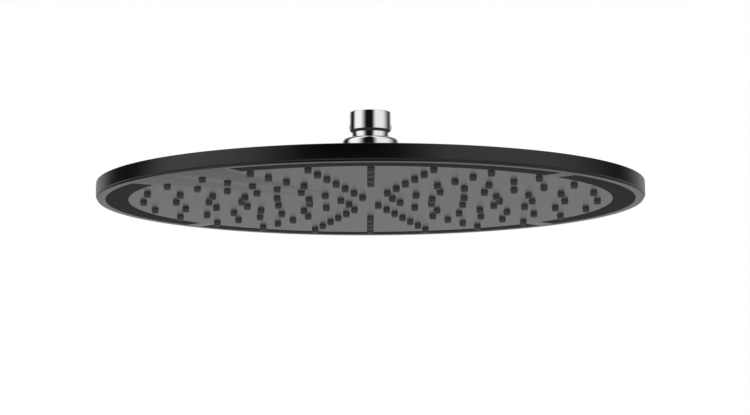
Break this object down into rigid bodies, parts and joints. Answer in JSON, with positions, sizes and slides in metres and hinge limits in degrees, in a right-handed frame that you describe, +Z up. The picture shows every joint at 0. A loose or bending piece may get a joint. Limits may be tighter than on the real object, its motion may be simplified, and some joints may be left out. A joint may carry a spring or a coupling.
{
  "type": "overhead rain shower head",
  "caption": "Wide round overhead rain shower head with a flat spray face of soft nozzles, a gloss side wall and a chrome ball joint that screws onto a shower arm.",
  "frame": {"origin": "centre of the inlet mouth, on the shower arm's thread axis", "axes": "+Z up along the inlet's thread axis, towards the shower arm; the spray face looks down -Z; -Y is the front, and the wide plain stretch of the rim band is at -X -Y"},
  "size_m": [0.35, 0.35, 0.06],
  "materials": {
    "chrome": "polished chrome plate",
    "black_plastic": "gloss black moulded plastic",
    "satin_plastic": "satin black moulded plastic",
    "matte_plastic": "matt black plastic",
    "silicone": "soft dark grey silicone",
    "rubber": "black nitrile rubber",
    "acetal": "black acetal",
    "brass": "machined brass",
    "steel": "stainless steel"
  },
  "bodies": {
    "inlet": {"inlet_connector": "chrome", "inlet_washer": "rubber", "filter_screen": "steel", "flow_regulator": "acetal", "regulator_oring": "rubber"},
    "slip_ring": {"ball_slip_ring": "acetal"},
    "seat": {"ball_seat": "acetal"},
    "head": {"ball_seal": "rubber", "collar_nut": "chrome", "hub": "chrome", "hub_gasket": "rubber", "lock_washer": "steel", "lock_nut": "brass", "top_shell": "black_plastic", "rim_oring": "rubber", "clamp_plate": "satin_plastic", "nozzle_mat": "silicone", "spray_face": "satin_plastic", "inlay_front": "matte_plastic", "inlay_right": "matte_plastic", "inlay_back": "matte_plastic", "inlay_left": "matte_plastic", "rim_screw_1": "steel", "rim_screw_2": "steel", "rim_screw_3": "steel", "rim_screw_4": "steel", "rim_screw_5": "steel", "rim_screw_6": "steel", "rim_screw_7": "steel", "rim_screw_8": "steel", "clamp_screw_1": "steel", "clamp_screw_2": "steel", "clamp_screw_3": "steel", "clamp_screw_4": "steel", "clamp_screw_5": "steel", "clamp_screw_6": "steel"}
  },
  "joints": [
    {"name": "front_back_tilt", "type": "hinge", "parent": "inlet", "child": "slip_ring", "pos_m": [0, 0, -0.0252], "axis": [1, 0, 0], "range_deg": [-10, 10]},
    {"name": "side_tilt", "type": "hinge", "parent": "slip_ring", "child": "seat", "pos_m": [0, 0, -0.0252], "axis": [0, 1, 0], "range_deg": [-10, 10]},
    {"name": "head_spin", "type": "hinge", "parent": "seat", "child": "head", "pos_m": [0, 0, -0.0252], "axis": [0, 0, 1], "continuous": true}
  ]
}
